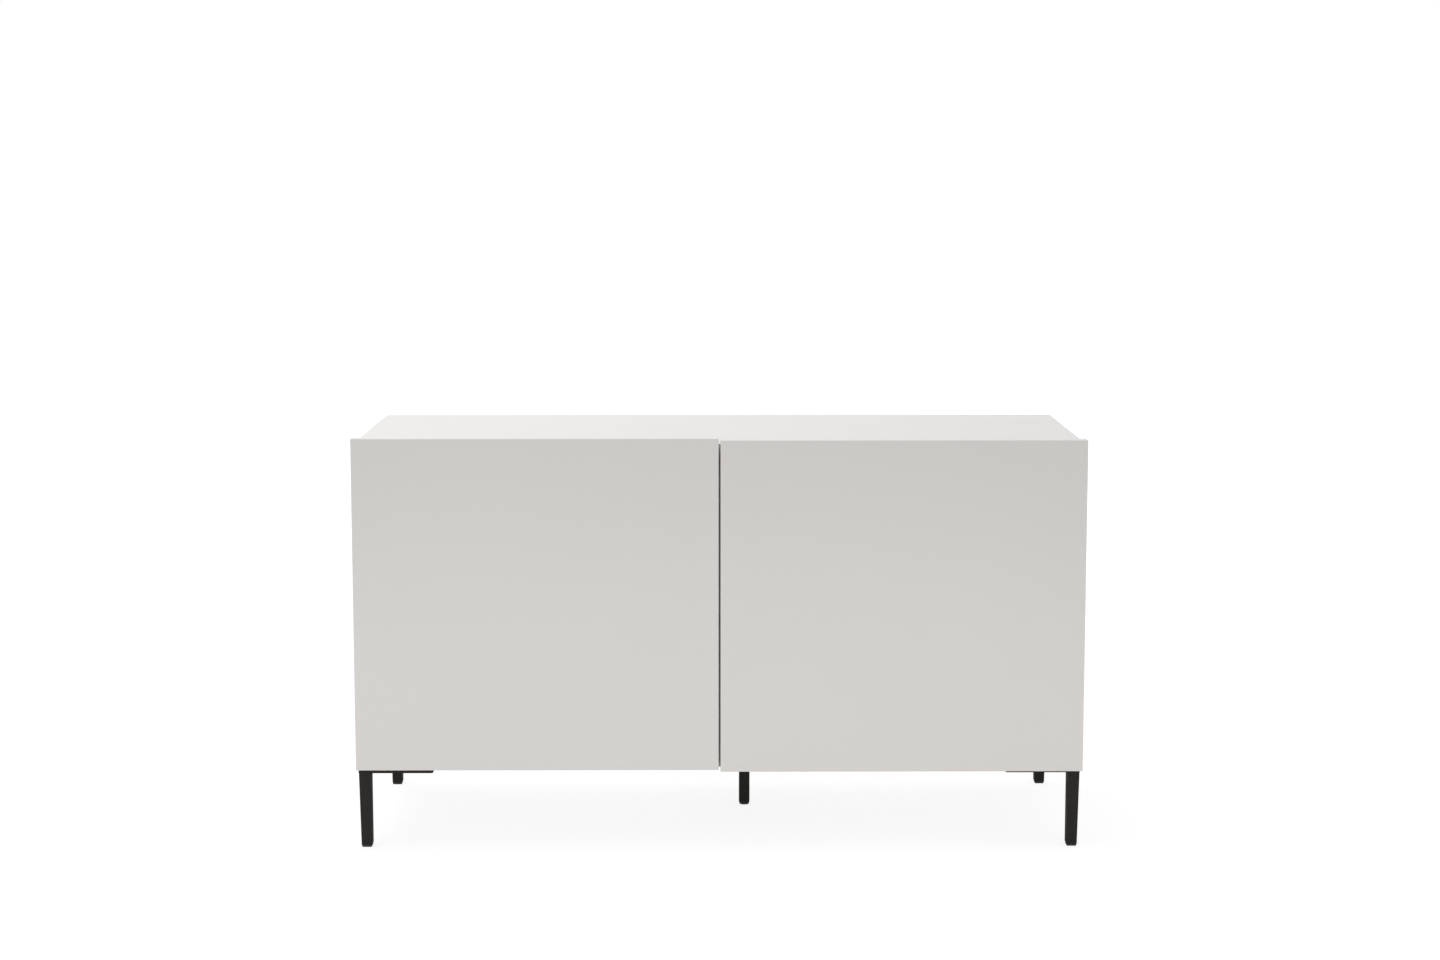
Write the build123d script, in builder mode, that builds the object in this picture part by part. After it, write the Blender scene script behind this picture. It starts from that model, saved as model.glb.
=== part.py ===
"""A TV stand: a white lacquered cabinet with two tall doors, on five black metal legs.

The origin is on the floor, in the middle of the width and of the depth. X runs to the
right, Y to the back and Z up, so the doors are at minus Y. Sizes are in millimetres.
"""
from build123d import *
import os

os.makedirs("parts", exist_ok=True)

# Overall sizes
WIDTH = 1200.0
DEPTH = 400.0
LEG_HEIGHT = 137.0
CABINET_HEIGHT = 542.0
BOARD = 18.0
EDGE_ROUND = 0.8

# Doors, which stand above the top so that fingers can pull on their upper edge
DOOR_THICKNESS = 20.0
DOOR_GAP = 3.0
DOOR_LIP = 10.0
DOOR_EDGE_ROUND = 1.0
CENTRE_GAP = 3.0
DOOR_HANG_STEP = 3.0

# Back panel in its grooves
BACK_THICKNESS = 5.0
GROOVE_DEPTH = 6.0
GROOVE_INSET = 10.0
OUTLET_WIDTH = 120.0
OUTLET_HEIGHT = 60.0
OUTLET_ROUND = 20.0
OUTLET_DROP = 110.0

# Shelves and the pins that carry them
SHELF_SETBACK = 25.0
SHELF_PIN_RADIUS = 2.5
SHELF_PIN_SEATED = 8.0
SHELF_PIN_REACH = 8.0
SHELF_PIN_COLLAR = 1.0
SHELF_PIN_COLLAR_RADIUS = 3.75
SHELF_PIN_INSET = 60.0
SHELF_PIN_PITCH = 64.0

# Cam locks, their bolts, and dowels
CAM_RADIUS = 7.5
CAM_DEPTH = 12.5
CAM_BACKSET = 34.0
CAM_SLOT_LENGTH = 9.0
CAM_SLOT_WIDTH = 1.6
CAM_SLOT_DEPTH = 2.0
FIXING_INSET = 50.0
DOWEL_PITCH = 32.0
BOLT_THREAD_RADIUS = 2.5
BOLT_THREAD_LENGTH = 11.0
BOLT_SHANK_RADIUS = 3.0
BOLT_NECK_RADIUS = 2.0
BOLT_NECK_LENGTH = 7.0
BOLT_HEAD_RADIUS = 3.2
BOLT_HEAD_LENGTH = 4.0
BOLT_PLAY = 0.5
DOWEL_RADIUS = 4.0
DOWEL_IN_UPRIGHT = 18.0
DOWEL_IN_PANEL = 12.0
DOWEL_CHAMFER = 1.0

# Cup hinges: the cup is sunk in the door and turns on the cranked arm's nose
HINGE_INSET = 100.0
PIVOT_FROM_EDGE = 7.4
PIVOT_DEPTH = 9.5
HINGE_PIN_RADIUS = 1.25
EYE_RADIUS = 2.3
CUP_EDGE = 3.0
CUP_RADIUS = 17.5
CUP_DEPTH = 13.0
CUP_WALL = 1.0
CUP_SHEET = 0.8
CUP_RIM = 1.2
CUP_WING = 13.0
CUP_SCREW_SPACING = 48.0
CUP_SCREW_OFFSET = 6.0
LUG_RADIUS = 2.6
LUG_SHEET = 2.0
LUG_PLAY = 0.4
ARM_SHEET = 2.5
ARM_BEND = 4.0
NECK_WIDTH = 9.0
NECK_REACH = 14.0
NECK_DROP = 0.7
ARM_TURN = 4.0
ARM_END = 62.0
ARM_WIDTH = 14.0
CHEEK_SHEET = 1.5
CHEEK_HEIGHT = 8.0
CHEEK_START = 12.0
PLATE_SHEET = 2.0
PLATE_START = 22.0
PLATE_END = 60.0
PLATE_WING = 14.0
PLATE_SCREW_INSET = 37.0
PLATE_SCREW_SPACING = 32.0
BLOCK_RISE = 11.6
BLOCK_START = 28.0
BLOCK_PLAY = 0.3
ARM_SCREW_INSET = 52.0

# Legs: a triangular plate with a rim, and a blade that narrows to the floor
LEG_PLATE_REACH = 124.0
LEG_PLATE_TIP = 16.0
LEG_PLATE_THICKNESS = 10.0
LEG_PLATE_WEB = 4.0
LEG_PLATE_RIM = 5.0
LEG_PLATE_ROUND = 3.0
LEG_INSET = 0.5
LEG_WIDTH = 20.0
LEG_DEPTH = 22.0
LEG_TAPER = 2.4
LEG_ROUND = 1.6
LEG_SCREW_ALONG = 108.0
LEG_SCREW_ACROSS = 13.0
LEG_SCREW_MIDDLE = 44.0
GLIDE_HEIGHT = 3.0
GLIDE_INSET = 0.8
GLIDE_STEM_RADIUS = 3.5
GLIDE_STEM_LENGTH = 10.0
CENTRE_LEG_X = 45.0
CENTRE_LEG_Y = 63.0
CENTRE_LEG_RADIUS = 9.5
CENTRE_FLANGE_RADIUS = 32.0
CENTRE_SCREW_CIRCLE = 22.0

# Screws: shank radius, length under the head, head radius and head height
CUP_SCREW_SHANK = 1.75
CUP_SCREW_LENGTH = 11.0
CUP_SCREW_HEAD = 3.5
CUP_SCREW_RISE = 1.8
PLATE_SCREW_SHANK = 2.5
PLATE_SCREW_LENGTH = 11.0
PLATE_SCREW_HEAD = 4.0
PLATE_SCREW_RISE = 1.8
ARM_SCREW_SHANK = 2.0
ARM_SCREW_LENGTH = 9.0
ARM_SCREW_HEAD = 3.4
ARM_SCREW_RISE = 2.0
LEG_SCREW_SHANK = 2.0
LEG_SCREW_LENGTH = 16.0
LEG_SCREW_HEAD = 4.0
LEG_SCREW_RISE = 2.4
BACK_SCREW_SHANK = 1.75
BACK_SCREW_LENGTH = 22.0
BACK_SCREW_HEAD = 3.6
BACK_SCREW_RISE = 2.0

# Soft dots that the closed doors meet the cabinet with
BUMPER_RADIUS = 4.0
BUMPER_INSET = 30.0
BUMPER_PLAY = 0.3
BUMPER_ROUND = 0.8

# Clearances
FIT = 0.1
RUNNING = 0.05
PANEL_PLAY = 0.15
SHELF_PLAY = 0.5

# Planes and lines that the sizes above give
CABINET_FRONT = -DEPTH / 2 + DOOR_THICKNESS + DOOR_GAP
CABINET_BACK = DEPTH / 2
CABINET_DEPTH = CABINET_BACK - CABINET_FRONT
CABINET_MID = (CABINET_FRONT + CABINET_BACK) / 2
CABINET_TOP = LEG_HEIGHT + CABINET_HEIGHT
BAY_FLOOR = LEG_HEIGHT + BOARD
BAY_ROOF = CABINET_TOP - BOARD
BAY_HEIGHT = BAY_ROOF - BAY_FLOOR
BAY_MID_HEIGHT = (BAY_FLOOR + BAY_ROOF) / 2
INNER_X = WIDTH / 2 - BOARD
BAY_WIDTH = INNER_X - BOARD / 2
BAY_CENTRE = (INNER_X + BOARD / 2) / 2
SIDE_X = WIDTH / 2 - BOARD / 2
UPRIGHTS = (-SIDE_X, 0, SIDE_X)
SIDES = {"left": -1, "right": 1}

BACK_MID = CABINET_BACK - GROOVE_INSET - BACK_THICKNESS / 2
BACK_FACE = BACK_MID - BACK_THICKNESS / 2
BACK_WIDTH = 2 * (INNER_X + GROOVE_DEPTH - PANEL_PLAY)
BACK_HEIGHT = BAY_HEIGHT + 2 * (GROOVE_DEPTH - PANEL_PLAY)
GROOVE_WIDTH = BACK_THICKNESS + 2 * PANEL_PLAY
GROOVE_LENGTH = BACK_WIDTH + 2 * PANEL_PLAY
OUTLET_Z = BAY_ROOF - OUTLET_DROP

DOOR_BACK = -DEPTH / 2 + DOOR_THICKNESS
DOOR_HEIGHT = CABINET_HEIGHT + DOOR_LIP
DOOR_WIDTH = (WIDTH - CENTRE_GAP) / 2
DOOR_FOOT = {side: LEG_HEIGHT - side * DOOR_HANG_STEP / 2 for side in SIDES.values()}
HINGE_HEIGHTS = {
    side: {"upper": foot + DOOR_HEIGHT - HINGE_INSET, "lower": foot + HINGE_INSET}
    for side, foot in DOOR_FOOT.items()
}

CAM_ROWS = (CABINET_FRONT + FIXING_INSET, BACK_FACE - FIXING_INSET)
DOWEL_ROWS = (CAM_ROWS[0] + DOWEL_PITCH, CAM_ROWS[1] - DOWEL_PITCH)
CAM_HEIGHTS = (BAY_FLOOR + CAM_BACKSET, BAY_ROOF - CAM_BACKSET)
CAM_SPOTS = [(y, z) for y in CAM_ROWS for z in CAM_HEIGHTS]
CAM_BOLT_SPOTS = [(x, y) for x in UPRIGHTS for y in CAM_ROWS]
DOWEL_SPOTS = [(x, y) for x in UPRIGHTS for y in DOWEL_ROWS]
UPRIGHT_ENDS = ((BAY_FLOOR, 1), (BAY_ROOF, -1))
BOLT_BORE = BOLT_HEAD_RADIUS + BOLT_PLAY
BOLT_BORE_DEPTH = CAM_BACKSET + BOLT_HEAD_LENGTH / 2 + BOLT_PLAY
CAM_FACES = ((-INNER_X, -1), (-BOARD / 2, 1), (INNER_X, 1))

SHELF_PIN_ROWS = (CABINET_FRONT + SHELF_PIN_INSET, BACK_FACE - SHELF_PIN_INSET)
SHELF_PIN_HEIGHTS = [BAY_MID_HEIGHT + step * SHELF_PIN_PITCH for step in (-1, 0, 1)]
SHELF_PIN_SPOTS = [(y, z) for y in SHELF_PIN_ROWS for z in SHELF_PIN_HEIGHTS]
SHELF_UNDERSIDE = BAY_MID_HEIGHT + SHELF_PIN_RADIUS + FIT
SHELF_FRONT = CABINET_FRONT + SHELF_SETBACK
SHELF_BACK = BACK_FACE - SHELF_PLAY
SHELF_WIDTH = BAY_WIDTH - 2 * (SHELF_PIN_COLLAR + SHELF_PLAY)
SHELF_PIN_SEATS = [(y, BAY_MID_HEIGHT) for y in SHELF_PIN_ROWS]
BAY_FACES = ((-INNER_X, 1), (-BOARD / 2, -1), (BOARD / 2, 1), (INNER_X, -1))

CUP_CENTRE = CUP_EDGE + CUP_RADIUS
CUP_FLOOR = -DOOR_GAP + CUP_SHEET - CUP_DEPTH
CUP_SCREW_X = CUP_CENTRE + CUP_SCREW_OFFSET
CUP_SCREW_SPOTS = [(CUP_SCREW_X, way * CUP_SCREW_SPACING / 2) for way in (-1, 1)]
PIVOT_Y = -DOOR_GAP - PIVOT_DEPTH
PIVOT = (PIVOT_FROM_EDGE, PIVOT_Y)
LUG_INNER = NECK_WIDTH / 2 + LUG_PLAY
ARM_LINE = BOARD + BLOCK_RISE + FIT + ARM_SHEET / 2
PLATE_SCREW_SPOTS = [(PLATE_SCREW_INSET, way * PLATE_SCREW_SPACING / 2) for way in (-1, 1)]
ARM_SCREW_SPOT = [(ARM_SCREW_INSET, 0)]

LEG_SCREW_SPOTS = [
    (LEG_SCREW_ALONG, LEG_SCREW_ACROSS),
    (LEG_SCREW_ACROSS, LEG_SCREW_ALONG),
    (LEG_SCREW_MIDDLE, LEG_SCREW_MIDDLE),
]
LEG_SCREW_PLACES = [
    (side * (WIDTH / 2 - across), CABINET_MID + end * (CABINET_DEPTH / 2 - along))
    for side in (-1, 1)
    for end in (-1, 1)
    for across, along in LEG_SCREW_SPOTS
]
LEG_PLATE_CORNERS = [
    (0, 0),
    (LEG_PLATE_REACH, 0),
    (LEG_PLATE_REACH, LEG_PLATE_TIP),
    (LEG_PLATE_TIP, LEG_PLATE_REACH),
    (0, LEG_PLATE_REACH),
]
LEG_PLATE_FOOT = LEG_HEIGHT - LEG_PLATE_THICKNESS
LEG_WEB_FOOT = LEG_HEIGHT - LEG_PLATE_WEB
LEG_FOOT_WIDTH = LEG_WIDTH - LEG_TAPER
LEG_FOOT_DEPTH = LEG_DEPTH - LEG_TAPER
LEG_OUTER_X = -WIDTH / 2 + LEG_INSET
LEG_OUTER_Y = CABINET_FRONT + LEG_INSET
LEG_FOOT_X = LEG_OUTER_X + LEG_TAPER + LEG_FOOT_WIDTH / 2
LEG_FOOT_Y = LEG_OUTER_Y + LEG_TAPER + LEG_FOOT_DEPTH / 2
LEG_FOOT = [(LEG_FOOT_X, LEG_FOOT_Y)]
CENTRE_LEG = [(CENTRE_LEG_X, CENTRE_LEG_Y)]
CENTRE_SCREW_PLACES = [
    (CENTRE_LEG_X + across * CENTRE_SCREW_CIRCLE, CENTRE_LEG_Y + along * CENTRE_SCREW_CIRCLE)
    for across, along in ((1, 0), (0, 1), (-1, 0), (0, -1))
]
BACK_SCREW_SPOTS = [(0, BAY_MID_HEIGHT + step * BAY_HEIGHT / 3) for step in (-1, 0, 1)]
BUMPER_HEIGHTS = (LEG_HEIGHT + BOARD / 2, CABINET_TOP - BOARD / 2)


def hand_over(piece: BuildPart, name: str) -> None:
    """Label a finished piece and write it to the file of its name."""
    piece.part.label = name
    export_step(piece.part, f"parts/{name}.step")


def rounds(plane: Plane, spots: list, radius: float, length: float, mode: Mode = Mode.ADD) -> None:
    """Add round bars to the part in hand, or cut round holes, from a plane along its normal."""
    with BuildSketch(plane) as circles:
        with Locations(*spots):
            Circle(radius)
    extrude(circles.sketch, amount=length, mode=mode)


def prepare_panel(height: float, inward: int) -> None:
    """Cut the back's groove and the holes of bolts and dowels into the panel in hand."""
    face = Plane.XY.offset(height)
    with BuildSketch(face) as groove:
        with Locations((0, BACK_MID)):
            Rectangle(GROOVE_LENGTH, GROOVE_WIDTH)
    extrude(groove.sketch, amount=inward * GROOVE_DEPTH, mode=Mode.SUBTRACT)
    thread_depth = inward * (BOLT_THREAD_LENGTH + FIT)
    rounds(face, CAM_BOLT_SPOTS, BOLT_THREAD_RADIUS + FIT, thread_depth, Mode.SUBTRACT)
    dowel_depth = inward * (DOWEL_IN_PANEL + FIT)
    rounds(face, DOWEL_SPOTS, DOWEL_RADIUS + FIT, dowel_depth, Mode.SUBTRACT)


def prepare_upright(x: float) -> None:
    """Bore both ends of the upright in hand for its bolts and dowels."""
    for height, inward in UPRIGHT_ENDS:
        end = Plane.XY.offset(height)
        rounds(end, [(x, y) for y in CAM_ROWS], BOLT_BORE, inward * BOLT_BORE_DEPTH, Mode.SUBTRACT)
        dowel_depth = inward * (DOWEL_IN_UPRIGHT + FIT)
        rounds(end, [(x, y) for y in DOWEL_ROWS], DOWEL_RADIUS + FIT, dowel_depth, Mode.SUBTRACT)


def hinge_plan(side: int, height: float) -> Plane:
    """Plan view of a hinge: local x runs in from the cabinet's side, local y to the back."""
    return Plane(
        origin=(side * WIDTH / 2, CABINET_FRONT, height), x_dir=(-side, 0, 0), z_dir=(0, 0, -side)
    )


def door_back(side: int, height: float) -> Plane:
    """Back face of a door at a hinge: local x runs in from the door's outer edge."""
    return Plane(origin=(side * WIDTH / 2, DOOR_BACK, height), x_dir=(-side, 0, 0), z_dir=(0, 1, 0))


def side_face(side: int, height: float) -> Plane:
    """Inner face of a side at a hinge: local x runs back from the cabinet's front edge."""
    return Plane(
        origin=(side * INNER_X, CABINET_FRONT, height), x_dir=(0, 1, 0), z_dir=(-side, 0, 0)
    )


# Top panel
with BuildPart() as top_panel:
    with BuildSketch(Plane.XY.offset(BAY_ROOF)):
        with Locations((0, CABINET_MID)):
            Rectangle(WIDTH, CABINET_DEPTH)
    extrude(amount=BOARD)
    fillet(top_panel.edges(), EDGE_ROUND)
    prepare_panel(BAY_ROOF, 1)
hand_over(top_panel, "top_panel")

# Bottom panel, with the pilot holes of the leg screws in its underside
with BuildPart() as bottom_panel:
    with BuildSketch(Plane.XY.offset(LEG_HEIGHT)):
        with Locations((0, CABINET_MID)):
            Rectangle(WIDTH, CABINET_DEPTH)
    extrude(amount=BOARD)
    fillet(bottom_panel.edges(), EDGE_ROUND)
    prepare_panel(BAY_FLOOR, -1)
    pilot_depth = LEG_SCREW_LENGTH - LEG_PLATE_WEB + FIT
    pilots = LEG_SCREW_PLACES + CENTRE_SCREW_PLACES
    rounds(Plane.XY.offset(LEG_HEIGHT), pilots, LEG_SCREW_SHANK + FIT, pilot_depth, Mode.SUBTRACT)
hand_over(bottom_panel, "bottom_panel")

# Sides, with the groove, cam pockets, bores, shelf pin rows and hinge plate holes
for side_name, side in SIDES.items():
    with BuildPart() as side_panel:
        with BuildSketch(Plane.XY.offset(BAY_FLOOR)):
            with Locations((side * SIDE_X, CABINET_MID)):
                Rectangle(BOARD, CABINET_DEPTH)
        extrude(amount=BAY_HEIGHT)
        fillet(side_panel.edges(), EDGE_ROUND)
        with BuildSketch(Plane.XY.offset(BAY_FLOOR)):
            with Locations((side * (INNER_X + GROOVE_DEPTH / 2), BACK_MID)):
                Rectangle(GROOVE_DEPTH, GROOVE_WIDTH)
        extrude(amount=BAY_HEIGHT, mode=Mode.SUBTRACT)
        prepare_upright(side * SIDE_X)
        inner_face = Plane.YZ.offset(side * INNER_X)
        rounds(inner_face, CAM_SPOTS, CAM_RADIUS, side * CAM_DEPTH, Mode.SUBTRACT)
        pin_depth = side * (SHELF_PIN_SEATED + FIT)
        rounds(inner_face, SHELF_PIN_SPOTS, SHELF_PIN_RADIUS + FIT, pin_depth, Mode.SUBTRACT)
        pilot_depth = PLATE_SCREW_LENGTH - PLATE_SHEET + FIT
        for height in HINGE_HEIGHTS[side].values():
            face = side_face(side, height)
            rounds(face, PLATE_SCREW_SPOTS, PLATE_SCREW_SHANK + FIT, -pilot_depth, Mode.SUBTRACT)
    hand_over(side_panel, f"{side_name}_side")

# Partition between the two bays
with BuildPart() as centre_partition:
    with BuildSketch(Plane.XY.offset(BAY_FLOOR)):
        with Locations((0, (CABINET_FRONT + BACK_FACE) / 2)):
            Rectangle(BOARD, BACK_FACE - CABINET_FRONT)
    extrude(amount=BAY_HEIGHT)
    fillet(centre_partition.edges(), EDGE_ROUND)
    prepare_upright(0)
    rounds(Plane.YZ.offset(-BOARD / 2), CAM_SPOTS, CAM_RADIUS, CAM_DEPTH, Mode.SUBTRACT)
    for way in (-1, 1):
        face = Plane.YZ.offset(way * BOARD / 2)
        pin_depth = -way * (SHELF_PIN_SEATED + FIT)
        rounds(face, SHELF_PIN_SPOTS, SHELF_PIN_RADIUS + FIT, pin_depth, Mode.SUBTRACT)
    rear_edge = Plane.XZ.offset(-BACK_FACE)
    pilot_depth = BACK_SCREW_LENGTH - BACK_THICKNESS + FIT
    rounds(rear_edge, BACK_SCREW_SPOTS, BACK_SCREW_SHANK + FIT, pilot_depth, Mode.SUBTRACT)
hand_over(centre_partition, "centre_partition")

# Back panel with a cable outlet behind each bay
with BuildPart() as back_panel:
    with BuildSketch(Plane.XZ.offset(-BACK_FACE)):
        with Locations((0, BAY_MID_HEIGHT)):
            Rectangle(BACK_WIDTH, BACK_HEIGHT)
        with Locations((-BAY_CENTRE, OUTLET_Z), (BAY_CENTRE, OUTLET_Z)):
            RectangleRounded(OUTLET_WIDTH, OUTLET_HEIGHT, OUTLET_ROUND, mode=Mode.SUBTRACT)
        with Locations(*BACK_SCREW_SPOTS):
            Circle(BACK_SCREW_SHANK + FIT, mode=Mode.SUBTRACT)
    extrude(amount=-BACK_THICKNESS)
hand_over(back_panel, "back_panel")

# Screws that hold the back panel to the partition
with BuildPart() as back_screws:
    head_seat = Plane.XZ.offset(-BACK_FACE - BACK_THICKNESS)
    rounds(head_seat, BACK_SCREW_SPOTS, BACK_SCREW_SHANK, BACK_SCREW_LENGTH)
    rounds(head_seat, BACK_SCREW_SPOTS, BACK_SCREW_HEAD, -BACK_SCREW_RISE)
hand_over(back_screws, "back_screws")

# One shelf in each bay
for side_name, side in SIDES.items():
    with BuildPart() as shelf:
        with BuildSketch(Plane.XY.offset(SHELF_UNDERSIDE)):
            with Locations((side * BAY_CENTRE, (SHELF_FRONT + SHELF_BACK) / 2)):
                Rectangle(SHELF_WIDTH, SHELF_BACK - SHELF_FRONT)
        extrude(amount=BOARD)
        fillet(shelf.edges(), EDGE_ROUND)
    hand_over(shelf, f"{side_name}_shelf")

# Shelf pins in the middle holes of their rows, each with a collar on the upright's face
with BuildPart() as shelf_pins:
    for face, outward in BAY_FACES:
        hole_foot = Plane.YZ.offset(face - outward * SHELF_PIN_SEATED)
        pin_length = outward * (SHELF_PIN_SEATED + SHELF_PIN_REACH)
        rounds(hole_foot, SHELF_PIN_SEATS, SHELF_PIN_RADIUS, pin_length)
        collar = outward * SHELF_PIN_COLLAR
        rounds(Plane.YZ.offset(face), SHELF_PIN_SEATS, SHELF_PIN_COLLAR_RADIUS, collar)
hand_over(shelf_pins, "shelf_pins")

# Cam locks: slotted drums, hollow where the bolt's head enters
with BuildPart() as cam_locks:
    for face, inward in CAM_FACES:
        rounds(Plane.YZ.offset(face), CAM_SPOTS, CAM_RADIUS - FIT, inward * (CAM_DEPTH - FIT))
        with BuildSketch(Plane.YZ.offset(face)):
            with Locations(*CAM_SPOTS):
                Rectangle(CAM_SLOT_LENGTH, CAM_SLOT_WIDTH)
                Rectangle(CAM_SLOT_WIDTH, CAM_SLOT_LENGTH)
        extrude(amount=inward * CAM_SLOT_DEPTH, mode=Mode.SUBTRACT)
    for height, inward in UPRIGHT_ENDS:
        end = Plane.XY.offset(height)
        rounds(end, CAM_BOLT_SPOTS, BOLT_BORE, inward * BOLT_BORE_DEPTH, Mode.SUBTRACT)
hand_over(cam_locks, "cam_locks")

# Cam bolts: thread in the panel, then shank, neck and head
with BuildPart() as cam_bolts:
    neck_start = CAM_BACKSET - BOLT_HEAD_LENGTH / 2 - BOLT_NECK_LENGTH
    head_start = CAM_BACKSET - BOLT_HEAD_LENGTH / 2
    for start, length, radius in (
        (-BOLT_THREAD_LENGTH, BOLT_THREAD_LENGTH, BOLT_THREAD_RADIUS),
        (0, neck_start, BOLT_SHANK_RADIUS),
        (neck_start, BOLT_NECK_LENGTH, BOLT_NECK_RADIUS),
        (head_start, BOLT_HEAD_LENGTH, BOLT_HEAD_RADIUS),
    ):
        rounds(Plane.XY.offset(BAY_FLOOR + start), CAM_BOLT_SPOTS, radius, length)
    mirror(about=Plane.XY.offset(BAY_MID_HEIGHT))
hand_over(cam_bolts, "cam_bolts")

# Dowels
with BuildPart() as dowels:
    foot = Plane.XY.offset(BAY_FLOOR - DOWEL_IN_PANEL)
    rounds(foot, DOWEL_SPOTS, DOWEL_RADIUS, DOWEL_IN_PANEL + DOWEL_IN_UPRIGHT)
    chamfer(dowels.edges().filter_by(GeomType.CIRCLE), DOWEL_CHAMFER)
    mirror(about=Plane.XY.offset(BAY_MID_HEIGHT))
hand_over(dowels, "dowels")

# Doors, bored for the hinge cups and their screws
for side_name, side in SIDES.items():
    with BuildPart() as door:
        with BuildSketch(Plane.XZ.offset(-DOOR_BACK)):
            with Locations((side * (WIDTH - DOOR_WIDTH) / 2, DOOR_FOOT[side] + DOOR_HEIGHT / 2)):
                Rectangle(DOOR_WIDTH, DOOR_HEIGHT)
        extrude(amount=DOOR_THICKNESS)
        fillet(door.edges(), DOOR_EDGE_ROUND)
        pilot_depth = CUP_SCREW_LENGTH - CUP_SHEET + FIT
        for height in HINGE_HEIGHTS[side].values():
            back = door_back(side, height)
            rounds(back, [(CUP_CENTRE, 0)], CUP_RADIUS + FIT, -CUP_DEPTH - FIT, Mode.SUBTRACT)
            rounds(back, CUP_SCREW_SPOTS, CUP_SCREW_SHANK + FIT, -pilot_depth, Mode.SUBTRACT)
    hand_over(door, f"{side_name}_door")

# Soft dots on the doors' backs, near the free edges
for side_name, side in SIDES.items():
    with BuildPart() as bumpers:
        with BuildSketch(Plane.XZ.offset(-DOOR_BACK)):
            with Locations(*[(side * (CENTRE_GAP / 2 + BUMPER_INSET), z) for z in BUMPER_HEIGHTS]):
                Circle(BUMPER_RADIUS)
        extrude(amount=-DOOR_GAP + BUMPER_PLAY)
        rims = bumpers.edges().filter_by(GeomType.CIRCLE).group_by(Axis.Y)[-1]
        fillet(rims, BUMPER_ROUND)
    hand_over(bumpers, f"{side_name}_door_bumpers")

# The arm's line in plan: from the pivot along the cup's floor, out of the cup, then back
with BuildLine() as arm_spine:
    FilletPolyline(
        PIVOT,
        (PIVOT_FROM_EDGE + NECK_REACH, PIVOT_Y - NECK_DROP),
        (ARM_LINE, ARM_TURN),
        (ARM_LINE, ARM_END),
        radius=ARM_BEND,
    )

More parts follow.
